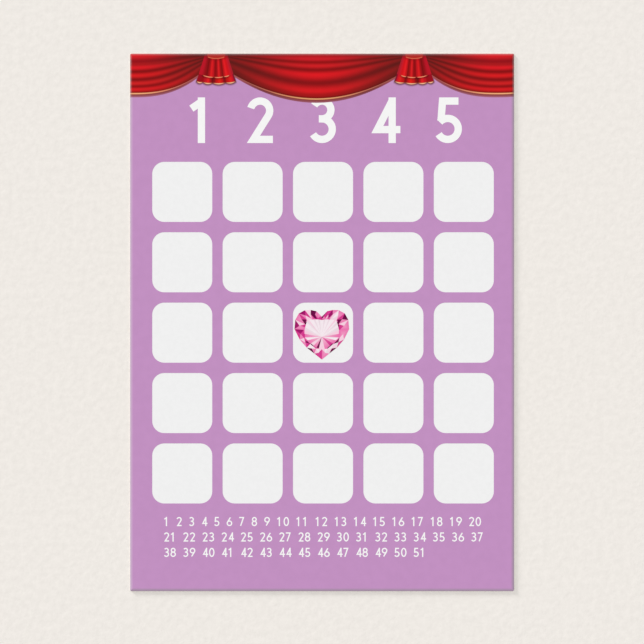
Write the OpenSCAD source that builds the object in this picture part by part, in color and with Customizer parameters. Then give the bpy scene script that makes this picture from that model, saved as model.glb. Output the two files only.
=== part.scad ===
// Bingo card: a pasted three-ply board, printed on its front in spot inks.
// The card lies on its back. X runs across it, Y up it and Z out of its printed face,
// from the middle of the back.

/* [Card] */
// Width of the card
card_w = 127; // [110:0.5:145]
// Height of the card
card_h = 177.8; // [156:0.2:230]
// Radius of the card's corners, seen from above
corner_r = 0.5; // [0.3:0.1:6]

/* [Board] */
// Thickness of the pulp core
core_t = 0.36; // [0.24:0.02:1.6]
// Thickness of the paper on each face of the core
liner_t = 0.12; // [0.06:0.01:0.3]
// Width of the edge that the cutting die presses over
press_w = 1; // [0.3:0.05:1.5]
// Depth of that pressed edge
press_d = 0.18; // [0.05:0.01:0.2]
// Thickness of a film of ink
ink_t = 0.02; // [0.01:0.005:0.05]

/* [Squares] */
// Squares in each row and each column
square_count = 5; // [3:1:6]
// Distance from the card's side to the squares
side_margin = 7; // [4:0.1:14]
// Gap between two squares
square_gap = 3.4; // [1:0.1:5]
// Radius of a square's corners
square_r = 4; // [1:0.1:7]
// Distance from the top of the card to the first row
squares_drop = 35.8; // [28:0.1:40]
// How far the squares sit right of the card's middle
squares_shift = 0.3; // [-1:0.1:1]

/* [Drape] */
// Distance between the middles of the two tails
tail_pitch = 65.5; // [52:0.1:80]
// How far the drape sits right of the card's middle
drape_shift = -2.3; // [-6:0.1:6]
// How far the middle swag hangs right of the middle between the tails
swag_shift = 0.4; // [-1:0.1:1]
// Drop of the cloth at the lowest point of the middle swag
middle_drop = 14.8; // [9:0.1:20]
// Drop of the cloth at the lowest point of a side swag
side_drop = 13; // [9:0.1:20]
// Span of a side swag, part of which runs off the card
side_span = 54.9; // [46:0.1:64]
// Drop of the cloth where the middle swag goes behind a tail
middle_tie_drop = 3.5; // [1.5:0.1:5]
// Drop of the cloth where a side swag goes behind a tail
side_tie_drop = 2.2; // [1.5:0.1:6]
// Width of the gold edging at a swag's lowest point
edging_w = 0.5; // [0.3:0.05:1.2]
// Width of the dark turned hem under the edging
hem_w = 1; // [0.3:0.05:1.2]

/* [Tails] */
// Width of a tail at the top of the card
tail_top_w = 7.2; // [5:0.1:9]
// Width of a tail at its hem
tail_hem_w = 12.9; // [10:0.1:16]
// Length of a tail down its sides
tail_drop = 9; // [8.6:0.1:12]
// How far a tail's hem sags at its middle
hem_sag = 0.6; // [0.3:0.1:1.5]
// Width of the upper tier at its hem
tier_w = 9; // [6:0.1:9.4]
// Length of the upper tier down its sides
tier_drop = 7; // [5:0.1:7.2]
// How far the upper tier's hem sags at its middle
tier_sag = 0.7; // [0.2:0.1:0.8]
// Depth of a scallop in a tail's hem
scallop_d = 0.15; // [0.1:0.05:0.8]
// Depth of a scallop in the upper tier's hem
tier_scallop_d = 0.1; // [0.05:0.05:0.4]
// Width of the gold cord along a tail's hem, in the middle of a scallop
cord_w = 0.5; // [0.3:0.05:0.8]
// Width of that cord in the cusps between two scallops
cusp_cord_w = 0.2; // [0.1:0.05:0.4]
// Width of the thinner gold cord along its upper tier and round its gather
thin_cord_w = 0.3; // [0.15:0.05:0.5]
// Width of the gold cord that gathers a tail near its top
gather_w = 5.4; // [3:0.1:6.4]
// Drop of that cord at its ends
gather_drop = 1; // [0.5:0.1:1.4]
// How far that cord sags at its middle
gather_sag = 0.5; // [0.2:0.1:1]

/* [Heart] */
// Gap between the heart and the sides of its square
heart_margin = 0.9; // [0.7:0.05:5]
// How far the heart sits right of its square's middle
heart_shift = -0.4; // [-0.6:0.1:0.6]
// How far the heart sits above its square's middle
heart_lift = -0.7; // [-0.9:0.1:0.9]

/* [Hidden] */
$fn = 64;

// Colours of the stock and of the inks
paper = [0.95, 0.95, 0.94];
pulp = [0.84, 0.80, 0.74];
lavender = [0.76, 0.56, 0.76];
red = [0.84, 0.11, 0.14];
maroon = [0.45, 0.09, 0.10];
gold = [0.92, 0.71, 0.42];
blush = [0.97, 0.82, 0.90];
pink = [0.90, 0.33, 0.63];
magenta = [0.50, 0.03, 0.35];

// One overrun serves every cut that passes a face
overrun = card_w / 50;

// Heights of the layers, from the back of the card
core_top = liner_t + core_t;
board_top = core_top + liner_t;
print_top = board_top + ink_t;

// Radius that carries the face down to the pressed edge
press_r = (press_w * press_w + press_d * press_d) / (2 * press_d);

// Places of the squares
card_top = card_h / 2;
squares_w = card_w - 2 * side_margin;
square_pitch = (squares_w + square_gap) / square_count;
square_w = square_pitch - square_gap;
squares_y = card_top - squares_drop - squares_w / 2;

// Middles and half spans of the swags, and middles of the tails
middle_half = tail_pitch / 2;
side_half = side_span / 2;
tail_x = [drape_shift - middle_half, drape_shift + middle_half];
// The tails mirror each other, so places across either one count from its outer side
tail_turns = [1, -1];
side_x = [tail_x[0] - side_half, tail_x[1] + side_half];

// Folds from the top of a swag to its hem: lit and shaded bands by turns, the first bled off the card
middle_fold_shares = [-0.1, 0.16, 0.24, 0.32, 0.42, 0.57, 0.75, 0.92, 1];
side_fold_shares = [-0.1, 0.12, 0.28, 0.41, 0.51, 0.61, 0.71, 0.8, 0.875, 1];
// How fast the folds climb towards the tails, ahead of the hem
middle_climb_share = 1.2;
side_climb_share = 1.5;
// Powers of the bend of each hem: 2 is a parabola, and more is flatter in the middle
middle_bend_share = 2;
side_bend_share = 2.5;
// Pleats across a tail from its outer side, in shares of half its width: lit and shaded bands by turns
pleat_shares = [-1.1, -0.62, -0.42, -0.12, 0.06, 0.3, 0.46, 1.1];
// Cusps between the scallops of a tail's hem and of its upper tier's, in shares of half its width
hem_cusp_shares = [-1, -0.66, -0.18, 0.46, 1];
tier_cusp_shares = [-1, -0.16, 0.56, 1];
bleed_share = 0.1;
swag_steps = 28;
scallop_steps = 6;
gather_steps = 12;

// Corners of the heart's right half, from its notch to its tip, in shares of half its width and of its height
heart_edge_shares = [
  [0, 0.865], [0.2, 0.975], [0.4, 1], [0.62, 0.995], [0.84, 0.93], [0.97, 0.8],
  [1, 0.615], [0.81, 0.405], [0.55, 0.24], [0.27, 0.12], [0, 0]
];
// How far the heart's table reaches from its middle towards each of those corners
table_shares = [0.83, 0.64, 0.6, 0.6, 0.66, 0.63, 0.66, 0.8, 0.77, 0.78, 0.63];
// Heights of the table's middle, and of the point under it where its facets meet
heart_middle_share = 0.565;
culet_share = 0.46;
heart_height_share = 0.907;
trap_share = 0.98;
// Tints of the heart's facets once round it by the right: 0 blush, 1 pink, 2 magenta.
// They lie along its edge, either side of its crown, round its table and on its table.
edge_tints = [2, 2, 1, 0, 2, 1, 1, 2, 2, 1, 2, 2, 1, 2, 1, 0, 2, 0, 2, 1];
fore_tints = [2, 2, 2, 0, 1, 0, 1, 0, 0, 0, 1, 0, 1, 1, 1, 1, 1, 0, 2, 1];
aft_tints = [2, 2, 0, 1, 1, 1, 0, 2, 0, 1, 0, 0, 0, 2, 0, 2, 2, 2, 1, 2];
star_tints = [2, 1, 1, 0, 2, 2, 1, 2, 0, 0, 0, 0, 2, 2, 2, 2, 0, 2, 2, 2];
table_tints = [0, 0, 0, 0, 0, 0, 1, 0, 1, 0, 2, 0, 0, 1, 0, 0, 0, 0, 0, 0];
heart_w = square_w - 2 * heart_margin;
heart_h = heart_height_share * heart_w;
// The heart's square is the middle one, or the next one out where the count is even
free_step = floor(square_count / 2) - (square_count - 1) / 2;
heart_x = squares_shift + free_step * square_pitch + heart_shift;
heart_y = squares_y + free_step * square_pitch + heart_lift;
half_count = len(heart_edge_shares) - 1;
corner_count = 2 * half_count;

// A list from its far end
function back(points) = [for (i = [len(points) - 1 : -1 : 0]) points[i]];

// Plan shapes

module rounded(w, h, r) {
  square([w, h - 2 * r], center = true);
  square([w - 2 * r, h], center = true);
  for (x = [-1, 1], y = [-1, 1])
    translate([x * (w / 2 - r), y * (h / 2 - r)]) circle(r);
}

module card_plan() rounded(card_w, card_h, corner_r);

module square_plans() {
  for (column = [0 : square_count - 1], row = [0 : square_count - 1])
    translate([
      squares_shift + (column - (square_count - 1) / 2) * square_pitch,
      squares_y + (row - (square_count - 1) / 2) * square_pitch
    ]) rounded(square_w, square_w, square_r);
}

// Layers of the card

// Section of a board with both edges pressed over, its face at a height
module pressed_section(span, height) {
  flat_w = span - 2 * press_w;
  translate([-flat_w / 2, height - 2 * press_r]) square([flat_w, 2 * press_r]);
  translate([-span / 2 - overrun, height - 2 * press_r]) square([span + 2 * overrun, press_r]);
  for (side = [-1, 1])
    translate([side * flat_w / 2, height - press_r]) circle(press_r);
}

// All that lies under a pressed face at a height
module under_face(height) {
  intersection() {
    rotate([90, 0, 0]) linear_extrude(card_h + 2 * overrun, center = true) pressed_section(card_w, height);
    rotate([90, 0, 90]) linear_extrude(card_w + 2 * overrun, center = true) pressed_section(card_h, height);
  }
}

// A layer between two heights that follows the pressed edge, over a plan
module layer(bottom, top) {
  difference() {
    intersection() {
      linear_extrude(top + overrun) children();
      under_face(top);
    }
    under_face(bottom);
  }
}

// A film of ink over a plan, trimmed to the card
module ink() {
  layer(board_top, print_top) intersection() {
    card_plan();
    children();
  }
}

// Swags

// A swag: its middle, half its span, its drop, its drop at the ties, its folds, their climb and its bend
function side_swag(side) = [
  side_x[side], side_half, side_drop, side_tie_drop, side_fold_shares, side_climb_share, side_bend_share
];
function middle_swag() = [
  drape_shift + swag_shift, middle_half, middle_drop, middle_tie_drop,
  middle_fold_shares, middle_climb_share, middle_bend_share
];
function mid(swag) = swag[0];
function half(swag) = swag[1];
function drop(swag) = swag[2];
function tie(swag) = swag[3];
function fold_shares(swag) = swag[4];
function climb_share(swag) = swag[5];
function bend_share(swag) = swag[6];
// Drop of a swag's cloth at a place across it, from -1 to 1
function cloth_drop(swag, u) = tie(swag) + (drop(swag) - tie(swag)) * (1 - pow(abs(u), bend_share(swag)));
// A share of the drop, climbed towards the ties; the card's edge and the hem stay where they are
function climbed(swag, u, share) = share - climb_share(swag) * u * u * max(0, share * (1 - share));
// A line across a swag, at a share of its drop
function swag_line(swag, share) = [
  for (i = [0 : swag_steps])
    let (u = 2 * i / swag_steps - 1)
    [mid(swag) + u * half(swag), card_top - climbed(swag, u, share) * cloth_drop(swag, u)]
];
function edging_share(swag) = 1 + edging_w / drop(swag);
function hem_share(swag) = edging_share(swag) + hem_w / drop(swag);

module swag_band(swag, from_share, to_share) {
  polygon(concat(swag_line(swag, from_share), back(swag_line(swag, to_share))));
}

// Every second fold of a swag, from the first lit or the first shaded one
module swag_folds(swag, first) {
  shares = fold_shares(swag);
  for (i = [first : 2 : len(shares) - 2]) swag_band(swag, shares[i], shares[i + 1]);
}

module swag_plan(swag) swag_band(swag, -bleed_share, hem_share(swag));

module swag_red(swag) {
  ink() difference() {
    swag_folds(swag, 0);
    tail_plans();
  }
}

module swag_maroon(swag) {
  ink() difference() {
    union() {
      swag_folds(swag, 1);
      swag_band(swag, edging_share(swag), hem_share(swag));
    }
    tail_plans();
  }
}

module swag_gold(swag) {
  ink() difference() {
    swag_band(swag, 1, edging_share(swag));
    tail_plans();
  }
}

// Tails

// Places across a scalloped hem, each with its share of the depth of its scallop
function scalloped(cusp_shares) = [
  for (i = [0 : len(cusp_shares) - 2], j = [0 : scallop_steps])
    if (i == 0 || j > 0)
      let (along = j / scallop_steps)
      [cusp_shares[i] + along * (cusp_shares[i + 1] - cusp_shares[i]), sin(180 * along)]
];
// A line that sags between its ends
function sagged(t, sag) = sag * (1 - t * t);
function tail_half(drop) = (tail_top_w + (tail_hem_w - tail_top_w) * drop / tail_drop) / 2;
// A point on a tail, at a place across it and at a drop
function tail_point(side, t, drop) = [tail_x[side] + tail_turns[side] * t * tail_half(drop), card_top - drop];
// Lines across a tail, each with a drop added to it; the hem's scallops swell by a depth of their own
function hem_line(side, add, swell_d) = [
  for (place = scalloped(hem_cusp_shares))
    tail_point(side, place[0], tail_drop + sagged(place[0], hem_sag) + swell_d * place[1] + add)
];
// Upper and lower edges of the cord along the hem
function cord_top(side) = hem_line(side, 0, scallop_d);
function cord_bottom(side) = hem_line(side, cusp_cord_w, scallop_d + cord_w - cusp_cord_w);
function tier_line(side, add) = [
  for (place = scalloped(tier_cusp_shares)) [
    tail_x[side] + tail_turns[side] * place[0] * tier_w / 2,
    card_top - tier_drop - sagged(place[0], tier_sag) - tier_scallop_d * place[1] - add
  ]
];
function gather_line(side, add) = [
  for (i = [0 : gather_steps])
    let (t = 2 * i / gather_steps - 1)
    [tail_x[side] + t * gather_w / 2, card_top - gather_drop - sagged(t, gather_sag) - add]
];

// A tail down to a line, from above the card's edge
module tail_above(side, line) {
  top_drop = -bleed_share * tail_drop;
  polygon(concat([tail_point(side, -1, top_drop), tail_point(side, 1, top_drop)], back(line)));
}

module tail_cords(side) {
  polygon(concat(cord_top(side), back(cord_bottom(side))));
  polygon(concat(tier_line(side, 0), back(tier_line(side, thin_cord_w))));
  polygon(concat(gather_line(side, 0), back(gather_line(side, thin_cord_w))));
}

module tail_plans() for (side = [0, 1]) tail_above(side, cord_bottom(side));

// A pleat between two places across a tail, running past both its ends
module pleat(side, from, to) {
  drops = [-tail_drop / 2, 3 / 2 * tail_drop];
  polygon([
    tail_point(side, from, drops[0]), tail_point(side, to, drops[0]),
    tail_point(side, to, drops[1]), tail_point(side, from, drops[1])
  ]);
}

// Every second pleat of a tail, from the first lit or the first shaded one
module tail_pleats(side, first) {
  ink() difference() {
    intersection() {
      tail_above(side, cord_top(side));
      for (i = [first : 2 : len(pleat_shares) - 2]) pleat(side, pleat_shares[i], pleat_shares[i + 1]);
    }
    tail_cords(side);
  }
}

// Heart

function mean(points) = [for (axis = [0, 1]) [for (p = points) p[axis]] * [for (p = points) 1] / len(points)];
// A point on the heart's own axis, at a share of its height
function heart_axis(height_share) = [heart_x, heart_y + heart_h * (height_share - 1 / 2)];
// Corners of the heart, counted once round it by the right from its notch
function half_corner(k) =
  let (i = k % corner_count)
  i > half_count ? corner_count - i : i;
function side_sign(k) = k % corner_count > half_count ? -1 : 1;
function outer(k) =
  let (shares = heart_edge_shares[half_corner(k)])
  heart_axis(shares[1]) + [side_sign(k) * shares[0] * heart_w / 2, 0];
function table(k) =
  let (middle = heart_axis(heart_middle_share))
  middle + table_shares[half_corner(k)] * (outer(k) - middle);
function crown(k) = mean([outer(k), outer(k + 1), table(k), table(k + 1)]);

// The facets from one corner of the heart to the next, and the tint of each
function facets(k) = [
  [outer(k), outer(k + 1), crown(k)],
  [outer(k), crown(k), table(k)],
  [outer(k + 1), table(k + 1), crown(k)],
  [crown(k), table(k + 1), table(k)],
  [table(k), table(k + 1), heart_axis(culet_share)]
];
function tints(k) = [edge_tints[k], fore_tints[k], aft_tints[k], star_tints[k], table_tints[k]];

// A facet drawn in a little, as one ink is trapped inside the next
function trapped(points) =
  let (middle = mean(points))
  [for (p = points) middle + trap_share * (p - middle)];

module heart_tint(tint) {
  ink() for (k = [0 : corner_count - 1], i = [0 : len(facets(0)) - 1])
    if (tints(k)[i] == tint) polygon(trapped(facets(k)[i]));
}

// Sub-parts

module back_liner() color(paper) linear_extrude(liner_t) card_plan();

module core_board() {
  color(pulp) intersection() {
    translate([0, 0, liner_t]) linear_extrude(core_t + overrun) card_plan();
    under_face(core_top);
  }
}

module front_liner() color(paper) layer(core_top, board_top) card_plan();

module lavender_ink() {
  color(lavender) ink() difference() {
    card_plan();
    square_plans();
    for (side = [0, 1]) swag_plan(side_swag(side));
    swag_plan(middle_swag());
    tail_plans();
  }
}

module left_swag_red_ink() color(red) swag_red(side_swag(0));
module left_swag_maroon_ink() color(maroon) swag_maroon(side_swag(0));
module left_swag_gold_ink() color(gold) swag_gold(side_swag(0));

module middle_swag_red_ink() color(red) swag_red(middle_swag());
module middle_swag_maroon_ink() color(maroon) swag_maroon(middle_swag());
module middle_swag_gold_ink() color(gold) swag_gold(middle_swag());

module right_swag_red_ink() color(red) swag_red(side_swag(1));
module right_swag_maroon_ink() color(maroon) swag_maroon(side_swag(1));
module right_swag_gold_ink() color(gold) swag_gold(side_swag(1));

module left_tail_red_ink() color(red) tail_pleats(0, 0);
module left_tail_maroon_ink() color(maroon) tail_pleats(0, 1);
module left_tail_gold_ink() color(gold) ink() tail_cords(0);

module right_tail_red_ink() color(red) tail_pleats(1, 0);
module right_tail_maroon_ink() color(maroon) tail_pleats(1, 1);
module right_tail_gold_ink() color(gold) ink() tail_cords(1);

module heart_blush_ink() color(blush) heart_tint(0);
module heart_pink_ink() color(pink) heart_tint(1);
module heart_magenta_ink() color(magenta) heart_tint(2);

back_liner();
core_board();
front_liner();
lavender_ink();
left_swag_red_ink();
left_swag_maroon_ink();
left_swag_gold_ink();
middle_swag_red_ink();
middle_swag_maroon_ink();
middle_swag_gold_ink();
right_swag_red_ink();
right_swag_maroon_ink();
right_swag_gold_ink();
left_tail_red_ink();
left_tail_maroon_ink();
left_tail_gold_ink();
right_tail_red_ink();
right_tail_maroon_ink();
right_tail_gold_ink();
heart_blush_ink();
heart_pink_ink();
heart_magenta_ink();
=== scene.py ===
# Looks of the bingo card: its pasted board, its printed inks and its white numerals.
# Sizes are in millimetres, in the frame of the solids, and MM turns them into metres.
import math
from dataclasses import dataclass

import bmesh
import bpy
from mathutils import Matrix, Vector


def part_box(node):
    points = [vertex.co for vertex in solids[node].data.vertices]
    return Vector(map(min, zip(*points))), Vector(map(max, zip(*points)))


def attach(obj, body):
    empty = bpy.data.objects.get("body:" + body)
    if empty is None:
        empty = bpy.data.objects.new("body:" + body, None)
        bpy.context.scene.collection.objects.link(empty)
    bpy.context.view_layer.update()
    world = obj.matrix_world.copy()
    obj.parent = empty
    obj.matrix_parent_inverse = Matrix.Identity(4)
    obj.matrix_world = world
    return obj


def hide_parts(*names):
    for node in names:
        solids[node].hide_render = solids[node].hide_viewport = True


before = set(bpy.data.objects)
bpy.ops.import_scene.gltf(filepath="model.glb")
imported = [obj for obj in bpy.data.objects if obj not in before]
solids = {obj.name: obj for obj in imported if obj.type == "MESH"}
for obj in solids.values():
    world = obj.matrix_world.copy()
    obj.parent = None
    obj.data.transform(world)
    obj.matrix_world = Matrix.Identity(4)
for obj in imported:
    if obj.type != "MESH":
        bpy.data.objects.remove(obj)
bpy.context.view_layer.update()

MM = 0.001


def middle_x(node):
    low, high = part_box(node)
    return (low.x + high.x) / 2 / MM


# Card, from the solids
CARD_HALF_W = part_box("front_liner")[1].x / MM
CARD_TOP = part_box("front_liner")[1].y / MM
PAPER_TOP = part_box("front_liner")[1].z / MM
PRINT_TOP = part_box("lavender_ink")[1].z / MM

# Swags, as the solids have them
LEFT_TAIL_X = middle_x("left_tail_gold_ink")
RIGHT_TAIL_X = middle_x("right_tail_gold_ink")
SWAG_SHIFT = 0.4
MIDDLE_DROP = 14.8
MIDDLE_TIE = 3.5
MIDDLE_BEND = 2.0
SIDE_HALF = 27.45
SIDE_DROP = 13.0
SIDE_TIE = 2.2
SIDE_BEND = 2.5
EDGING_W = 0.5
HEM_W = 1.0
HEM_STEPS = 24

# Tails, as the solids have them, with the cusps of their hems at shares of half their width
TAIL_TOP_HALF = 3.6
TAIL_HEM_HALF = 6.45
TAIL_DROP = 9.0
HEM_SAG = 0.6
HEM_CUSPS = (-1, -0.66, -0.18, 0.46, 1)
SCALLOP_D = 0.15
CORD_W = 0.5
CUSP_CORD_W = 0.2
TIER_HALF = 4.5
TIER_DROP = 7.0
TIER_SAG = 0.7
TIER_CUSPS = (-1, -0.16, 0.56, 1)
TIER_SCALLOP_D = 0.1
BETWEEN_HEMS = (TIER_DROP + TIER_SAG + TAIL_DROP) / 2
GATHER_HALF = 2.7
GATHER_DROP = 1.0
GATHER_SAG = 0.5

# Heart, as the solids have it: corners of its right half, in shares of half its width and of its height
HEART_W = 18.08
HEART_H = 16.4
HEART_X = -0.1
HEART_Y = -4.1
HEART_EDGE = (
    (0, 0.865), (0.2, 0.975), (0.4, 1), (0.62, 0.995), (0.84, 0.93), (0.97, 0.8),
    (1, 0.615), (0.81, 0.405), (0.55, 0.24), (0.27, 0.12), (0, 0),
)
TABLE_REACH = (0.83, 0.64, 0.6, 0.6, 0.66, 0.63, 0.66, 0.8, 0.77, 0.78, 0.63)
TABLE_MIDDLE = 0.565
TABLE_BAND = 0.28
CULET = 0.46

# White numerals: a heading over the squares, and rows at the foot.
# A pen's width is a share of the numeral's height, and its steps are those of half a turn.
WHITE_FILM = 0.015
HEADING = "12345"
HEADING_CAP = 15.1
HEADING_PEN = 0.16
HEADING_STEPS = 24
HEADING_X = 0.3
HEADING_Y = 59.3
HEADING_PITCH = 20.8
FOOT_CAP = 3.05
FOOT_PEN = 0.135
FOOT_STEPS = 10
FOOT_LEFT = -52.3
FOOT_BASES = (-67.4, -72.5, -77.6)
FOOT_ROWS = ((1, 20), (21, 37), (38, 51))
FOOT_DIGIT_STEP = 2.2
FOOT_NUMBER_GAP = 1.95

# Stage: the camera sees a square field, and the window's low light is a share of all light on the card
FIELD = 212.99
AIM = (-0.03, 0.12)
LENS = 150
SENSOR = 36
FLOOR_HALF = 4000
WINDOW_SHARE = 0.17
WINDOW_RISE = math.radians(11)
WINDOW_TURN = math.radians(135)
WINDOW_SPREAD = math.radians(11)


def srgb(red, green, blue):
    """A colour as a screen shows it, from 0 to 255, as the linear values that shaders take."""
    linear = []
    for value in (red, green, blue):
        share = value / 255
        linear.append(share / 12.92 if share <= 0.04045 else ((share + 0.055) / 1.055) ** 2.4)
    return (*linear, 1.0)


# Finishes

class Finish:
    """A material with one Principled shader, and short calls for the nodes that feed it."""

    def __init__(self, name, roughness):
        self.material = bpy.data.materials.new(name)
        self.material.use_nodes = True
        self.tree = self.material.node_tree
        self.tree.nodes.clear()
        self.shader = self.add("ShaderNodeBsdfPrincipled")
        self.shader.inputs["Roughness"].default_value = roughness
        self.shader.inputs["Specular IOR Level"].default_value = SHEEN
        output = self.add("ShaderNodeOutputMaterial")
        self.feed(output.inputs["Surface"], self.shader.outputs["BSDF"])
        scale = self.add("ShaderNodeVectorMath", operation="SCALE")
        scale.inputs["Scale"].default_value = 1 / MM
        self.feed(scale.inputs[0], self.add("ShaderNodeTexCoord").outputs["Object"])
        self.place = scale.outputs["Vector"]
        axes = self.add("ShaderNodeSeparateXYZ")
        self.feed(axes.inputs["Vector"], self.place)
        self.x, self.y = axes.outputs[:2]

    def add(self, kind, **settings):
        node = self.tree.nodes.new(kind)
        for key, value in settings.items():
            setattr(node, key, value)
        return node

    def feed(self, socket, value):
        if isinstance(value, bpy.types.NodeSocket):
            self.tree.links.new(value, socket)
        else:
            socket.default_value = value

    def colour(self, value):
        self.feed(self.shader.inputs["Base Color"], value)

    def math(self, operation, *values):
        node = self.add("ShaderNodeMath", operation=operation)
        for socket, value in zip(node.inputs, values):
            self.feed(socket, value)
        return node.outputs[0]

    def plus(self, first, second):
        return self.math("ADD", first, second)

    def minus(self, first, second):
        return self.math("SUBTRACT", first, second)

    def times(self, first, second):
        return self.math("MULTIPLY", first, second)

    def over(self, first, second):
        return self.math("DIVIDE", first, second)

    def size(self, value):
        return self.math("ABSOLUTE", value)

    def line(self, value, slope, start):
        return self.math("MULTIPLY_ADD", value, slope, start)

    def span(self, value, from_low, from_high, to_low=0.0, to_high=1.0):
        """A smooth step from one value to another."""
        node = self.add("ShaderNodeMapRange", interpolation_type="SMOOTHSTEP")
        for socket, number in zip(node.inputs, (value, from_low, from_high, to_low, to_high)):
            self.feed(socket, number)
        return node.outputs[0]

    def mix(self, factor, first, second, blend="MIX"):
        node = self.add("ShaderNodeMix", data_type="RGBA", blend_type=blend)
        self.feed(node.inputs[0], factor)
        self.feed(node.inputs[6], first)
        self.feed(node.inputs[7], second)
        return node.outputs[2]

    def shade(self, colour, factor):
        """A colour made darker or lighter by a factor that is the same in red, green and blue."""
        grey = self.add("ShaderNodeCombineColor")
        for socket in grey.inputs:
            self.feed(socket, factor)
        return self.mix(1.0, colour, grey.outputs["Color"], "MULTIPLY")

    def stops(self, factor, kind, stops):
        node = self.add("ShaderNodeValToRGB")
        node.color_ramp.interpolation = kind
        elements = node.color_ramp.elements
        while len(elements) < len(stops):
            elements.new(1.0)
        for element, (place, colour) in zip(elements, stops):
            element.position = place
            element.color = colour
        self.feed(node.inputs["Fac"], factor)
        return node.outputs["Color"]

    def ramp(self, factor, stops):
        """Colours along a factor from 0 to 1, eased from one stop to the next."""
        return self.stops(factor, "EASE", [(place, srgb(*colour)) for place, colour in stops])

    def level(self, factor, stops):
        """Numbers along a factor from 0 to 1, in straight lines from one stop to the next."""
        greys = [(place, (number, number, number, 1.0)) for place, number in stops]
        return self.stops(factor, "LINEAR", greys)

    def noise(self, scale, detail, roughness=0.5, place=None):
        node = self.add("ShaderNodeTexNoise")
        self.feed(node.inputs["Vector"], place or self.place)
        node.inputs["Scale"].default_value = scale
        node.inputs["Detail"].default_value = detail
        node.inputs["Roughness"].default_value = roughness
        return node.outputs["Fac"]

    def bump(self, height, depth):
        node = self.add("ShaderNodeBump")
        node.inputs["Strength"].default_value = 1.0
        node.inputs["Distance"].default_value = depth * MM
        self.feed(node.inputs["Height"], height)
        self.feed(self.shader.inputs["Normal"], node.outputs["Normal"])

    def tooth(self):
        """The fine tooth of coated paper, in the surface and in its gloss."""
        grain = self.noise(3.2, 3.0, 0.6)
        self.bump(grain, TOOTH_D)
        roughness = self.shader.inputs["Roughness"]
        least, most = roughness.default_value - GLOSS_VARIES, roughness.default_value + GLOSS_VARIES
        self.feed(roughness, self.span(grain, 0.3, 0.7, least, most))

    def printed(self, colour, rub_and_sheen, rub_and_sheen_w):
        """Ink on the board: a little mottled, and worn thin along the card's cut edge with a painted sheen
        there too; painted shade darkens that edge, most on the right side and the foot, away from the
        light."""
        ragged = self.line(self.noise(1.6, 4.0), RAGGED_W, -RAGGED_W / 2)
        upper = self.math("MINIMUM", self.plus(self.x, CARD_HALF_W), self.minus(CARD_TOP, self.y))
        lower = self.math("MINIMUM", self.minus(CARD_HALF_W, self.x), self.plus(self.y, CARD_TOP))
        edge = self.plus(self.math("MINIMUM", upper, lower), ragged)
        # Worn ink shows the paper along the cut edge, and this paler rim is also a painted sheen on it.
        worn_with_sheen = self.mix(self.span(edge, 0.0, rub_and_sheen_w, rub_and_sheen, 0.0), colour, PAPER_WHITE)
        # Painted shade along the cut edge, deepest on the right side and the foot, which face away from
        # the light.
        edge_shade = self.span(edge, 0.0, RIM_W, EDGE_SHADE, 1.0)
        far_edge_shade = self.span(self.plus(lower, ragged), 0.0, RIM_W, FAR_EDGE_SHADE, 1.0)
        mottle = self.span(self.noise(0.35, 3.0), 0.3, 0.7, *MOTTLE)
        self.colour(self.shade(worn_with_sheen, self.times(mottle, self.math("MINIMUM", edge_shade, far_edge_shade))))
        self.tooth()
        return self.material


# Board and ink: their tones, how much these vary from place to place, and the painted shade along the
# card's edge
PAPER_WHITE = srgb(240, 240, 240)
INK_WHITE = srgb(245, 245, 244)
PULP_TONES = ((0.3, (176, 165, 150)), (0.5, (212, 203, 190)), (0.7, (233, 227, 217)))
PULP_LAYERS = 14.0
PULP_D = 0.03
FLECKS = (0.99, 1.01)
MOTTLE = (0.985, 1.015)
SHEEN = 0.06
GLOSS_VARIES = 0.05
TOOTH_D = 0.003
RAGGED_W = 0.2
RIM_W = 1.15
# Painted shade along the card's edge: how dark at the cut, and darker still on the right side and the
# foot.
EDGE_SHADE = 0.78
FAR_EDGE_SHADE = 0.62


def coated_paper():
    finish = Finish("coated_paper", 0.62)
    flecks = finish.span(finish.noise(0.8, 4.0, 0.6), 0.35, 0.65, *FLECKS)
    finish.colour(finish.shade(PAPER_WHITE, flecks))
    finish.tooth()
    return finish.material


def pulp_board():
    """Cut pulp: pale fibres that lie flat along the edge."""
    finish = Finish("pulp_board", 0.9)
    layers = finish.add("ShaderNodeMapping")
    layers.inputs["Scale"].default_value = (1.0, 1.0, PULP_LAYERS)
    finish.feed(layers.inputs["Vector"], finish.place)
    fibres = finish.noise(1.8, 5.0, 0.65, layers.outputs["Vector"])
    finish.colour(finish.ramp(fibres, PULP_TONES))
    finish.bump(fibres, PULP_D)
    return finish.material


def white_ink():
    finish = Finish("white_ink", 0.5)
    cover = finish.span(finish.noise(0.9, 4.0, 0.6), 0.35, 0.65, *FLECKS)
    finish.colour(finish.shade(INK_WHITE, cover))
    finish.tooth()
    return finish.material


# Swags: lit and shaded folds down the cloth, at shares of its drop, the turned hem under its gold edging,
# and how far and how thin the red ink of the drape is worn along the card's edge, under a painted sheen
MIDDLE_FOLDS = (
    (0.00, (174, 22, 30)), (0.045, (176, 22, 30)), (0.121, (202, 26, 36)), (0.197, (147, 12, 14)),
    (0.275, (204, 26, 32)), (0.366, (139, 12, 15)), (0.475, (219, 22, 30)), (0.661, (134, 13, 17)),
    (0.838, (213, 24, 30)), (0.935, (166, 18, 20)), (1.0, (122, 12, 11)),
)
SIDE_FOLDS = (
    (0.00, (222, 30, 38)), (0.045, (216, 28, 36)), (0.202, (148, 12, 21)), (0.275, (168, 21, 25)),
    (0.36, (216, 24, 33)), (0.462, (136, 10, 13)), (0.563, (213, 25, 29)), (0.664, (131, 12, 15)),
    (0.76, (204, 29, 31)), (0.838, (143, 11, 15)), (0.913, (213, 24, 30)), (1.0, (138, 20, 12)),
)
TURNED_HEM = ((1.035, (134, 60, 54)), (1.07, (146, 76, 84)), (1.115, (172, 108, 134)))
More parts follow.
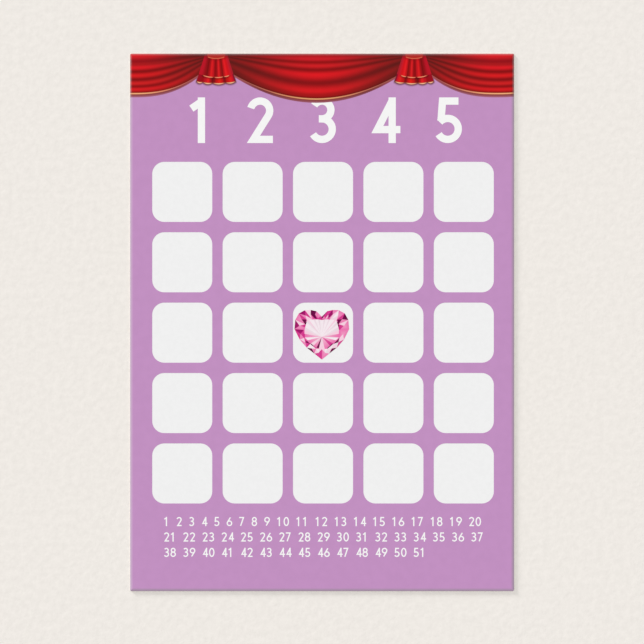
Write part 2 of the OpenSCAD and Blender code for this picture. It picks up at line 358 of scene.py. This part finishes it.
HEM_HAZE = (164, 84, 94)
FOLD_REACH = 1.15
SLACK_BEND = 1.1
MIDDLE_GOLD = (
    (0.0, (230, 168, 118)), (0.1, (218, 144, 108)), (0.25, (194, 114, 96)), (0.45, (174, 98, 86)),
    (1.0, (140, 66, 64)),
)
SIDE_GOLD = (
    (0.0, (246, 180, 130)), (0.12, (226, 146, 116)), (0.27, (200, 112, 102)), (0.5, (178, 94, 92)),
    (1.0, (140, 66, 68)),
)
EDGING_CROWN = ((0.0, (214, 196, 180)), (0.45, (255, 255, 255)), (1.0, (220, 204, 190)))
GATHERED_BROWN = (80, 25, 21)
GATHERED_FOLDS = 0.08
# Worn ink with a painted sheen along the card's edge: how much paper white, and how wide.
CLOTH_RUB_AND_SHEEN = 0.19
CLOTH_RUB_AND_SHEEN_W = 0.8


@dataclass
class Swag:
    """A swag's middle, half span, drop, drop at its ties and the bend of its hem, the tones of its folds
    and of its edging, how fast the folds climb to the ties, and how fast the cloth darkens there, with
    how much less of that its hem shows."""
    mid: float
    half: float
    drop: float
    tie: float
    bend: float
    folds: tuple
    gold: tuple
    climb: float
    gather: float
    gather_ease: float

    def frame(self, finish):
        """How far across the swag a point lies, squared, and its share of the cloth's drop there."""
        across = finish.size(finish.over(finish.minus(finish.x, self.mid), self.half))
        reach = finish.line(finish.math("POWER", across, self.bend), self.tie - self.drop, self.drop)
        return finish.times(across, across), finish.over(finish.minus(CARD_TOP, finish.y), reach)


def side_swag(mid):
    return Swag(
        mid, SIDE_HALF, SIDE_DROP, SIDE_TIE, SIDE_BEND, SIDE_FOLDS, SIDE_GOLD,
        climb=1.8, gather=3.6, gather_ease=2.4,
    )


SWAGS = {
    "left": side_swag(LEFT_TAIL_X - SIDE_HALF),
    "middle": Swag(
        (RIGHT_TAIL_X + LEFT_TAIL_X) / 2 + SWAG_SHIFT, (RIGHT_TAIL_X - LEFT_TAIL_X) / 2,
        MIDDLE_DROP, MIDDLE_TIE, MIDDLE_BEND, MIDDLE_FOLDS, MIDDLE_GOLD,
        climb=1.3, gather=3.0, gather_ease=0.5,
    ),
    "right": side_swag(RIGHT_TAIL_X + SIDE_HALF),
}


def swag_cloth(name, swag):
    """Printed cloth whose folds hang from tail to tail, climb towards the tails and darken there."""
    finish = Finish(name, 0.46)
    square, down = swag.frame(finish)
    slack = finish.math("POWER", finish.math("MAXIMUM", finish.minus(1.0, down), 0.0), SLACK_BEND)
    rise = finish.times(slack, finish.times(square, down))
    phase = finish.line(rise, swag.climb, down)
    stops = [(share / FOLD_REACH, colour) for share, colour in (*swag.folds, *TURNED_HEM)]
    folded = finish.ramp(finish.over(phase, FOLD_REACH), stops)
    fade = finish.times(square, finish.line(down, swag.gather_ease, -swag.gather))
    loose = finish.line(finish.math("EXPONENT", fade), 1 - GATHERED_FOLDS, GATHERED_FOLDS)
    cloth = finish.mix(loose, srgb(*GATHERED_BROWN), folded)
    hazy = finish.times(finish.span(down, 1.0, 1.05), finish.span(square, 0.2, 0.7))
    return finish.printed(finish.mix(hazy, cloth, srgb(*HEM_HAZE)), CLOTH_RUB_AND_SHEEN, CLOTH_RUB_AND_SHEEN_W)


def swag_edging(name, swag):
    """Gold edging, bright along its crown and browner towards the tails."""
    finish = Finish(name, 0.4)
    square, down = swag.frame(finish)
    across = finish.line(finish.minus(down, 1.0), swag.drop / EDGING_W, 0.0)
    crown = finish.ramp(across, EDGING_CROWN)
    gold = finish.mix(1.0, finish.ramp(square, swag.gold), crown, "MULTIPLY")
    return finish.printed(gold, CLOTH_RUB_AND_SHEEN, CLOTH_RUB_AND_SHEEN_W)


# Tails: the pleats across the upper tier and across the flounce under it, from outer side to inner side,
# the cords along their hems from cusp to swell, and the ground colour with their fringe on it
PLEATS = (
    (0.07, (184, 16, 36)), (0.2, (140, 10, 16)), (0.235, (120, 6, 10)), (0.29, (160, 11, 20)),
    (0.36, (217, 25, 29)), (0.415, (190, 16, 26)), (0.47, (135, 6, 10)), (0.515, (150, 8, 15)),
    (0.58, (217, 27, 32)), (0.64, (160, 11, 15)), (0.69, (130, 9, 10)), (0.73, (186, 16, 21)),
    (0.785, (227, 26, 32)), (0.86, (206, 14, 23)), (0.91, (196, 22, 36)), (0.97, (170, 26, 40)),
)
FLOUNCE = (
    (0.05, (152, 6, 28)), (0.15, (152, 5, 18)), (0.22, (186, 16, 31)), (0.295, (224, 26, 32)),
    (0.365, (160, 11, 21)), (0.4, (110, 5, 11)), (0.45, (130, 7, 16)), (0.52, (196, 16, 17)),
    (0.59, (222, 28, 18)), (0.65, (196, 16, 17)), (0.7, (140, 7, 20)), (0.725, (125, 6, 11)),
    (0.79, (190, 16, 17)), (0.88, (222, 28, 28)), (0.94, (200, 18, 36)), (0.975, (140, 4, 40)),
    (1.0, (100, 26, 36)),
)
TIER_CORD = ((0.0, (92, 10, 14)), (0.25, (182, 72, 52)), (0.6, (228, 126, 94)), (1.0, (236, 144, 106)))
HEM_CORD = ((0.0, (112, 58, 46)), (0.3, (206, 124, 88)), (0.6, (246, 178, 134)), (1.0, (254, 194, 148)))
HEM_SHADE = (128, 26, 20)
HEM_SHADE_W = 0.24
GATHER_CORD = (212, 98, 72)
GATHER_SHADE = (120, 10, 16)
NECK_RED = (176, 42, 35)
SHOULDER_RED = (128, 34, 36)
FRINGE_W = 0.9
FRINGE_BROWN = (108, 64, 62)
LAVENDER = (193, 143.5, 192.5)
# Worn ink with a painted sheen along the card's edge: how much paper white.
LAVENDER_RUB_AND_SHEEN = 0.33


class Tail:
    """Where a point lies on a tail, for a finish; turn is 1 on the left tail and -1 on the right one."""

    def __init__(self, finish, mid, turn):
        self.finish = finish
        self.drop = finish.minus(CARD_TOP, finish.y)
        self.offset = finish.times(finish.minus(finish.x, mid), turn)
        flare = (TAIL_HEM_HALF - TAIL_TOP_HALF) / TAIL_DROP
        self.across = finish.over(self.offset, finish.line(self.drop, flare, TAIL_TOP_HALF))
        self.tier_across = finish.over(self.offset, TIER_HALF)
        self.hem_swell = self.swell(self.across, HEM_CUSPS)
        self.tier_swell = self.swell(self.tier_across, TIER_CUSPS)

    def swell(self, across, cusps):
        """0 in the cusps of a hem and 1 where its scallops hang lowest."""
        count = len(cusps) - 1
        stops = [((cusp + 1) / 2, i / count) for i, cusp in enumerate(cusps)]
        place = self.finish.level(self.finish.line(across, 0.5, 0.5), stops)
        return self.finish.size(self.finish.math("SINE", self.finish.times(place, count * math.pi)))

    def below(self, across, drop, sag, swell=0.0, depth=0.0):
        """How far a point lies under a line that sags between its ends, with any scallops."""
        sagged = self.finish.line(self.finish.times(across, across), -sag, drop + sag)
        return self.finish.minus(self.drop, self.finish.line(swell, depth, sagged))

    def below_hem(self):
        return self.below(self.across, TAIL_DROP, HEM_SAG, self.hem_swell, SCALLOP_D)

    def below_cord(self):
        swell_d = SCALLOP_D + CORD_W - CUSP_CORD_W
        return self.below(self.across, TAIL_DROP + CUSP_CORD_W, HEM_SAG, self.hem_swell, swell_d)

    def below_tier(self):
        return self.below(self.tier_across, TIER_DROP, TIER_SAG, self.tier_swell, TIER_SCALLOP_D)

    def below_gather(self):
        return self.below(self.finish.over(self.offset, GATHER_HALF), GATHER_DROP, GATHER_SAG)


TAILS = {"left": (LEFT_TAIL_X, 1), "right": (RIGHT_TAIL_X, -1)}


def tail_cloth(name, side):
    """Pleated cloth in two tiers, gathered by a cord under the card's top edge."""
    finish = Finish(name, 0.46)
    tail = Tail(finish, *TAILS[side])
    place = finish.line(tail.across, 0.5, 0.5)
    below = tail.below_tier()
    beside = finish.span(finish.size(tail.tier_across), 0.95, 1.15, 0.55, 0.0)
    shadow = finish.times(finish.span(below, 0.2, 1.2, 1.0, 0.0), beside)
    flounce = finish.shade(finish.ramp(place, FLOUNCE), finish.minus(1.0, shadow))
    cloth = finish.mix(finish.span(below, 0.0, 0.3), finish.ramp(place, PLEATS), flounce)
    gather = tail.below_gather()
    cloth = finish.mix(finish.span(gather, 0.3, 1.5, 0.4, 0.0), cloth, srgb(*GATHER_SHADE))
    shoulder = finish.span(finish.size(tail.offset), GATHER_HALF, GATHER_HALF + 0.5)
    neck = finish.mix(shoulder, srgb(*NECK_RED), srgb(*SHOULDER_RED))
    cloth = finish.mix(finish.span(gather, -0.1, 0.2, 1.0, 0.0), cloth, neck)
    return finish.printed(cloth, CLOTH_RUB_AND_SHEEN, CLOTH_RUB_AND_SHEEN_W)


def tail_cord(name, side):
    """Gold cord along the hems: pale where a scallop swells, brown in its cusps and along its lower edge,
    and shaded by the cloth over it."""
    finish = Finish(name, 0.4)
    tail = Tail(finish, *TAILS[side])
    on_hem = finish.math("GREATER_THAN", tail.drop, BETWEEN_HEMS)
    under = finish.span(tail.below_cord(), -0.18, 0.0, 0.0, 0.7)
    hem = finish.mix(under, finish.ramp(tail.hem_swell, HEM_CORD), srgb(*FRINGE_BROWN))
    hem = finish.mix(finish.span(tail.below_hem(), 0.0, HEM_SHADE_W, 0.9, 0.0), hem, srgb(*HEM_SHADE))
    hems = finish.mix(on_hem, finish.ramp(tail.tier_swell, TIER_CORD), hem)
    gathered = finish.math("LESS_THAN", tail.drop, TIER_DROP / 2)
    return finish.printed(finish.mix(gathered, hems, srgb(*GATHER_CORD)), CLOTH_RUB_AND_SHEEN, CLOTH_RUB_AND_SHEEN_W)


def lavender_ink():
    """The ground colour, with a soft brown fringe under the hem of each tail."""
    finish = Finish("lavender_ink", 0.5)
    ground = srgb(*LAVENDER)
    for side in TAILS:
        tail = Tail(finish, *TAILS[side])
        under = finish.span(tail.below_cord(), 0.0, FRINGE_W, 0.95, 0.0)
        within = finish.span(finish.size(tail.across), 1.0, 1.06, 1.0, 0.0)
        ground = finish.mix(finish.times(under, within), ground, srgb(*FRINGE_BROWN))
    return finish.printed(ground, LAVENDER_RUB_AND_SHEEN, RIM_W)


# Pieces

def finished(name, mesh, material):
    """A mesh as a piece of the card, in its place."""
    piece = bpy.data.objects.new(name, mesh)
    bpy.context.scene.collection.objects.link(piece)
    mesh.materials.clear()
    mesh.materials.append(material)
    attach(piece, "root")
    return piece


def meshed(name, shape):
    """A bmesh as a mesh, and the bmesh freed."""
    mesh = bpy.data.meshes.new(name)
    shape.to_mesh(mesh)
    shape.free()
    return mesh


# Heart: tones from palest pink to deep magenta, and the tone of each facet once round by the right.
# Facets lie along its edge, before and after each peak of its crown, round its table, and as rays on it.
FACET_TONES = (
    (244, 231, 237), (233, 214, 223), (246, 205, 222), (234, 114, 174), (208, 42, 134), (152, 10, 98),
    (98, 2, 62),
)
EDGE_TONES = "5433633463 4634535263"
FORE_TONES = "6450423221 4343333263"
AFT_TONES = "4523332123 2025244634"
STAR_TONES = "33 23 32 12 66 44 33 66 00 02 20 00 64 44 34 66 22 34 64 44"
BAND_TONES = "43 33 42 22 36 64 33 33 66 32 23 46 33 43 34 63 22 33 44 44"
RAY_TONES = "01 00 10 02 01 01 23 03 43 32 26 32 30 32 10 01 20 01 00 10"
PEAK_PALE = 0.35
CULET_PALE = 0.8


def heart_ink():
    finish = Finish("heart_ink", 0.42)
    facets = finish.add("ShaderNodeAttribute", attribute_name="facet")
    cover = finish.span(finish.noise(0.9, 3.0), 0.3, 0.7, 0.98, 1.02)
    finish.colour(finish.shade(facets.outputs["Color"], cover))
    finish.tooth()
    return finish.material


def heart_axis(share):
    """A point on the heart's own axis, at a share of its height."""
    return Vector((HEART_X, HEART_Y + HEART_H * (share - 0.5), PRINT_TOP)) * MM


def heart_spots():
    """Corners of the heart once round it, and the places along the edge of its table, two to a corner."""
    middle = heart_axis(TABLE_MIDDLE)
    half = [(1, *corner) for corner in zip(HEART_EDGE, TABLE_REACH)]
    corners = half + [(-1, *corner[1:]) for corner in half[-2:0:-1]]
    rim = [
        heart_axis(up) + Vector((side * out * HEART_W / 2 * MM, 0, 0))
        for side, (out, up), reach in corners
    ]
    table = [middle + reach * (spot - middle) for spot, (side, share, reach) in zip(rim, corners)]
    ring = []
    for spot, following in zip(table, table[1:] + table[:1]):
        ring += [spot, (spot + following) / 2]
    return rim, ring


def nearest(spots, vert):
    return min(range(len(spots)), key=lambda i: (spots[i] - vert.co).length)


def first_of(places):
    """The first of two neighbours on a closed ring."""
    low, high = sorted(places)
    return high if high - low > 1 else low


def paint_facet(face, layer, tones, number, pale, pale_vert):
    """Gives a facet one tone of a row of them, paler towards one of its corners."""
    tone = int(tones.replace(" ", "")[number])
    colour = Vector(srgb(*FACET_TONES[tone]))
    paler = Vector(srgb(*FACET_TONES[max(tone - 1, 0)]))
    for loop in face.loops:
        loop[layer] = colour.lerp(paler, pale) if loop.vert == pale_vert else colour


def cut_crown(heart, layer, face, rim, ring):
    """Facets from one corner of the heart to the next, round a peak."""
    sector = first_of([rim[vert] for vert in face.verts if vert in rim])
    corners = [vert.co for vert in face.verts if vert in rim or ring[vert] % 2 == 0]
    middle = sum(corners, Vector()) / len(corners)
    cut = bmesh.ops.poke(heart, faces=[face])
    peak = cut["verts"][0]
    peak.co = middle
    for facet in cut["faces"]:
        outer = [rim[vert] for vert in facet.verts if vert in rim]
        if len(outer) == 2:
            paint_facet(facet, layer, EDGE_TONES, sector, PEAK_PALE, peak)
        elif outer:
            tones = FORE_TONES if outer[0] == sector else AFT_TONES
            paint_facet(facet, layer, tones, sector, PEAK_PALE, peak)
        else:
            place = first_of([ring[vert] for vert in facet.verts if vert in ring])
            paint_facet(facet, layer, STAR_TONES, place, PEAK_PALE, peak)


def heart_print():
    """A cut heart: a faceted crown, and a table with a thin band round it and rays from a point."""
    rim_spots, ring_spots = heart_spots()
    heart = bmesh.new()
    layer = heart.loops.layers.float_color.new("facet")
    radius = HEART_W / 2 * MM
    circle = bmesh.ops.create_circle(heart, cap_ends=True, segments=len(rim_spots), radius=radius)
    for vert, spot in zip(circle["verts"], rim_spots):
        vert.co = spot
    table = heart.faces[:]
    inset = bmesh.ops.inset_region(heart, faces=table, thickness=TABLE_BAND * MM, use_boundary=True)
    crown = inset["faces"]
    inner = list(table[0].verts)
    for vert in inner:
        beside = [edge.other_vert(vert) for edge in vert.link_edges]
        outer = next(other for other in beside if other not in inner)
        vert.co = ring_spots[2 * nearest(rim_spots, outer)]
    bmesh.ops.bisect_edges(heart, edges=table[0].edges[:], cuts=1)
    ring = {vert: nearest(ring_spots, vert) for vert in table[0].verts}
    rim = {vert: nearest(rim_spots, vert) for vert in heart.verts if vert not in ring}
    for face in crown:
        cut_crown(heart, layer, face, rim, ring)
    inset = bmesh.ops.inset_region(heart, faces=table, thickness=TABLE_BAND * MM, use_even_offset=True)
    band = inset["faces"]
    inner = {vert: nearest(ring_spots, vert) for vert in table[0].verts}
    for face in band:
        place = first_of([nearest(ring_spots, vert) for vert in face.verts if vert not in inner])
        paint_facet(face, layer, BAND_TONES, place, 0, None)
    rays = bmesh.ops.poke(heart, faces=table)
    culet = rays["verts"][0]
    culet.co = heart_axis(CULET)
    for face in rays["faces"]:
        place = first_of([inner[vert] for vert in face.verts if vert in inner])
        paint_facet(face, layer, RAY_TONES, place, CULET_PALE, culet)
    outline = [edge for edge in heart.edges if edge.is_boundary]
    walls = bmesh.ops.extrude_edge_only(heart, edges=outline)["geom"]
    lowered = [item for item in walls if isinstance(item, bmesh.types.BMVert)]
    bmesh.ops.translate(heart, verts=lowered, vec=(0, 0, (PAPER_TOP - PRINT_TOP) * MM))
    bmesh.ops.holes_fill(heart, edges=[edge for edge in heart.edges if edge.is_boundary])
    bmesh.ops.recalc_face_normals(heart, faces=heart.faces[:])
    piece = finished("heart_print", meshed("heart_print", heart), heart_ink())
    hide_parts("heart_blush_ink", "heart_pink_ink", "heart_magenta_ink")


# Numerals, one unit tall, drawn by a pen of even width

def numeral_paths(digit, pen):
    """The pen's paths: a start, then lines to points and turns about centres in degrees; or a ring."""
    base, head = pen / 2, 1 - pen / 2
    waist = 0.53
    upper, lower = (head - waist) / 2, (waist - base) / 2
    bowl = 0.31 - pen / 2
    hook = 0.29 - pen / 2
    if digit == "0":
        return [("ring", (0.3, 0.5), 0.3 - pen / 2, head - 0.5)]
    if digit == "1":
        return [[(0.27, 0), (0.27, 1)], [(0.05, 0.755), (0.27, 0.905)]]
    if digit == "2":
        return [[on_turn((0.28, 0.71), hook, 165), ((0.28, 0.71), -197), (0.134, base), (0.56, base)]]
    if digit == "3":
        return [
            [on_turn((0.26, head - upper), upper, 150), ((0.26, head - upper), -240), (0.19, waist)],
            [(0.19, waist), (0.26, waist), ((0.26, base + lower), -240)],
        ]
    if digit == "4":
        return [[(0.46, 0), (0.46, 1)], [(0.46, 0.93), (0.135, 0.295), (0.64, 0.295)]]
    if digit == "5":
        return [
            [(0.5, head), (0.15, head), (0.117, 0.486)],
            [on_turn((0.265, 0.31), bowl, 140), ((0.265, 0.31), -290)],
        ]
    if digit == "6":
        return [("ring", (0.3, 0.31), bowl, bowl), [on_turn((0.3, 0.31), bowl, 150), (0.401, 0.945)]]
    if digit == "7":
        return [[(0, head), (0.46, head), (0.149, 0.026)]]
    if digit == "8":
        return [("ring", (0.28, head - upper), upper, upper), ("ring", (0.28, base + lower), lower, lower)]
    return [("ring", (0.3, 0.69), bowl, bowl), [on_turn((0.3, 0.69), bowl, -30), (0.199, 0.055)]]


def on_turn(centre, radius, degrees):
    """A point on a circle, at an angle from its right."""
    angle = math.radians(degrees)
    return (centre[0] + radius * math.cos(angle), centre[1] + radius * math.sin(angle))


def pen_stroke(path, pen, steps):
    """One path of the pen, as a solid one unit high."""
    line = bmesh.new()
    if path[0] == "ring":
        centre, half_w, half_h = path[1:]
        bmesh.ops.create_circle(line, segments=2 * steps, radius=1)
        bmesh.ops.scale(line, vec=(half_w, half_h, 1), verts=line.verts[:])
        bmesh.ops.translate(line, vec=(*centre, 0), verts=line.verts[:])
    else:
        tip = line.verts.new((*path[0], 0))
        for step in path[1:]:
            if isinstance(step[0], tuple):
                centre, degrees = step
                turned = bmesh.ops.spin(
                    line, geom=[tip], cent=(*centre, 0), axis=(0, 0, 1), angle=math.radians(degrees),
                    steps=max(2, round(steps * abs(degrees) / 180)),
                )
                tip = next(item for item in turned["geom_last"] if isinstance(item, bmesh.types.BMVert))
            else:
                tip = bmesh.ops.extrude_vert_indiv(line, verts=[tip])["verts"][0]
                tip.co = (*step, 0)
    bmesh.ops.remove_doubles(line, verts=line.verts[:], dist=1e-5)
    wall = bmesh.ops.extrude_edge_only(line, edges=line.edges[:])["geom"]
    raised = [item for item in wall if isinstance(item, bmesh.types.BMVert)]
    bmesh.ops.translate(line, vec=(0, 0, 1), verts=raised)
    bmesh.ops.recalc_face_normals(line, faces=line.faces[:])
    stroke = bpy.data.objects.new("stroke", meshed("stroke", line))
    bpy.context.scene.collection.objects.link(stroke)
    solidify = stroke.modifiers.new("pen", "SOLIDIFY")
    solidify.thickness = pen
    solidify.offset = 0
    solidify.use_even_offset = True
    return stroke


def settled(shape):
    """The mesh that an object's modifiers give."""
    bpy.context.view_layer.update()
    seen = shape.evaluated_get(bpy.context.evaluated_depsgraph_get())
    return bpy.data.meshes.new_from_object(seen)


def numeral(digit, pen, steps):
    """A numeral as one closed solid, one unit tall and one unit high."""
    strokes = [pen_stroke(path, pen, steps) for path in numeral_paths(digit, pen)]
    first = strokes[0]
    for other in strokes[1:]:
        join = first.modifiers.new("join", "BOOLEAN")
        join.operation = "UNION"
        join.solver = "EXACT"
        join.object = other
    mesh = settled(first)
    for stroke in strokes:
        bpy.data.objects.remove(stroke)
    return mesh


def set_down(mesh, x, y, cap):
    """A copy of a numeral at its size on the print, with its left foot at a place."""
    copy = mesh.copy()
    size = Matrix.Diagonal((cap * MM, cap * MM, WHITE_FILM * MM, 1))
    copy.transform(Matrix.Translation(Vector((x, y, PRINT_TOP)) * MM) @ size)
    return copy


def numeral_middle(mesh):
    return (max(vert.co.x for vert in mesh.vertices) + min(vert.co.x for vert in mesh.vertices)) / 2


def swag_cutter():
    """A block over the middle swag, down to its hem."""
    swag = SWAGS["middle"]
    grid = bmesh.new()
    bmesh.ops.create_grid(grid, x_segments=HEM_STEPS, y_segments=1, size=1)
    for vert in grid.verts:
        drop = swag.drop - (swag.drop - swag.tie) * vert.co.x ** 2
        down = 0 if vert.co.y > 0 else drop * (1 + (EDGING_W + HEM_W) / swag.drop)
        vert.co = Vector((swag.mid + vert.co.x * swag.half, CARD_TOP - down, 0)) * MM
    block = bmesh.ops.extrude_face_region(grid, geom=grid.faces[:], use_keep_orig=True)["geom"]
    raised = [item for item in block if isinstance(item, bmesh.types.BMVert)]
    bmesh.ops.translate(grid, vec=(0, 0, 2 * PRINT_TOP * MM), verts=raised)
    bmesh.ops.recalc_face_normals(grid, faces=grid.faces[:])
    cutter = bpy.data.objects.new("swag_cutter", meshed("swag_cutter", grid))
    bpy.context.scene.collection.objects.link(cutter)
    return cutter


def heading(ink):
    """Numerals over the squares; the middle one goes under the swag's hem."""
    cutter = swag_cutter()
    for i, digit in enumerate(HEADING):
        mesh = numeral(digit, HEADING_PEN, HEADING_STEPS)
        column = HEADING_X + (i - (len(HEADING) - 1) / 2) * HEADING_PITCH
        x = column - numeral_middle(mesh) * HEADING_CAP
        piece = finished(f"heading_{digit}", set_down(mesh, x, HEADING_Y, HEADING_CAP), ink)
        cut = piece.modifiers.new("swag", "BOOLEAN")
        cut.operation = "DIFFERENCE"
        cut.solver = "EXACT"
        cut.object = cutter
        piece.data = settled(piece)
        piece.modifiers.clear()
    bpy.data.objects.remove(cutter)


def foot(ink):
    """Rows of counted numbers under the squares."""
    digits = {digit: numeral(digit, FOOT_PEN, FOOT_STEPS) for digit in "0123456789"}
    for i, ((first, last), base) in enumerate(zip(FOOT_ROWS, FOOT_BASES)):
        row = bmesh.new()
        x = FOOT_LEFT
        for number in range(first, last + 1):
            for digit in str(number):
                copy = set_down(digits[digit], x, base, FOOT_CAP)
                row.from_mesh(copy)
                bpy.data.meshes.remove(copy)
                x += FOOT_DIGIT_STEP
            x += FOOT_NUMBER_GAP
        finished(f"foot_row_{i + 1}", meshed("foot_row", row), ink)


# Dressing

def dress(node, material):
    solid = solids[node]
    solid.data.materials.clear()
    solid.data.materials.append(material)


def dress_card():
    paper = coated_paper()
    dress("front_liner", paper)
    dress("back_liner", paper)
    dress("core_board", pulp_board())
    dress("lavender_ink", lavender_ink())


def dress_drape():
    for side, swag in SWAGS.items():
        cloth = swag_cloth(f"{side}_swag_cloth", swag)
        dress(f"{side}_swag_red_ink", cloth)
        dress(f"{side}_swag_maroon_ink", cloth)
        dress(f"{side}_swag_gold_ink", swag_edging(f"{side}_swag_edging", swag))
    for side in TAILS:
        cloth = tail_cloth(f"{side}_tail_cloth", side)
        dress(f"{side}_tail_red_ink", cloth)
        dress(f"{side}_tail_maroon_ink", cloth)
        dress(f"{side}_tail_gold_ink", tail_cord(f"{side}_tail_cord", side))


# Stage
FLOOR_CREAM = srgb(239, 234, 228)
FLOOR_MOTTLE = (0.975, 1.025)
FLOOR_TOOTH_D = 0.1


def floor():
    """A sheet of pale rough paper under the card."""
    sheet = bmesh.new()
    bmesh.ops.create_grid(sheet, x_segments=1, y_segments=1, size=FLOOR_HALF * MM)
    ground = bpy.data.objects.new("floor", meshed("floor", sheet))
    bpy.context.scene.collection.objects.link(ground)
    finish = Finish("floor_paper", 0.9)
    tooth = finish.noise(0.45, 5.0, 0.6)
    finish.colour(finish.shade(FLOOR_CREAM, finish.span(tooth, 0.3, 0.7, *FLOOR_MOTTLE)))
    finish.bump(tooth, FLOOR_TOOTH_D)
    ground.data.materials.append(finish.material)


def window_light():
    """Low soft light from the upper left."""
    lamp = bpy.data.lights.new("window", "SUN")
    lamp.energy = WINDOW_SHARE * math.pi / math.sin(WINDOW_RISE)
    lamp.angle = WINDOW_SPREAD
    window = bpy.data.objects.new("window", lamp)
    window.rotation_euler = Vector((
        -math.cos(WINDOW_RISE) * math.cos(WINDOW_TURN),
        -math.cos(WINDOW_RISE) * math.sin(WINDOW_TURN),
        -math.sin(WINDOW_RISE),
    )).to_track_quat("-Z", "Y").to_euler()
    bpy.context.scene.collection.objects.link(window)


def sky_light():
    """An even sky, which shows as a pale backdrop."""
    world = bpy.data.worlds.new("studio")
    world.use_nodes = True
    tree = world.node_tree
    tree.nodes.clear()
    rays = tree.nodes.new("ShaderNodeLightPath")
    seen = rays.outputs["Is Camera Ray"]
    for kind in ("Is Glossy Ray", "Is Transmission Ray"):
        either = tree.nodes.new("ShaderNodeMath")
        either.operation = "MAXIMUM"
        tree.links.new(seen, either.inputs[0])
        tree.links.new(rays.outputs[kind], either.inputs[1])
        seen = either.outputs[0]
    sky = tree.nodes.new("ShaderNodeBackground")
    sky.inputs["Color"].default_value = (1, 1, 1, 1)
    sky.inputs["Strength"].default_value = 1 - WINDOW_SHARE
    backdrop = tree.nodes.new("ShaderNodeBackground")
    backdrop.inputs["Color"].default_value = FLOOR_CREAM
    mix = tree.nodes.new("ShaderNodeMixShader")
    tree.links.new(seen, mix.inputs["Fac"])
    tree.links.new(sky.outputs[0], mix.inputs[1])
    tree.links.new(backdrop.outputs[0], mix.inputs[2])
    output = tree.nodes.new("ShaderNodeOutputWorld")
    tree.links.new(mix.outputs[0], output.inputs["Surface"])
    bpy.context.scene.world = world


def camera():
    """Straight over the card, with the card's top edge up."""
    lens = bpy.data.cameras.new("camera")
    lens.lens = LENS
    lens.sensor_width = SENSOR
    viewer = bpy.data.objects.new("camera", lens)
    viewer.location = Vector((*AIM, PRINT_TOP + FIELD * LENS / SENSOR)) * MM
    bpy.context.scene.collection.objects.link(viewer)
    bpy.context.scene.camera = viewer


dress_card()
dress_drape()
heart_print()
white = white_ink()
heading(white)
foot(white)
floor()
window_light()
sky_light()
camera()
bpy.context.scene.view_settings.view_transform = "Standard"
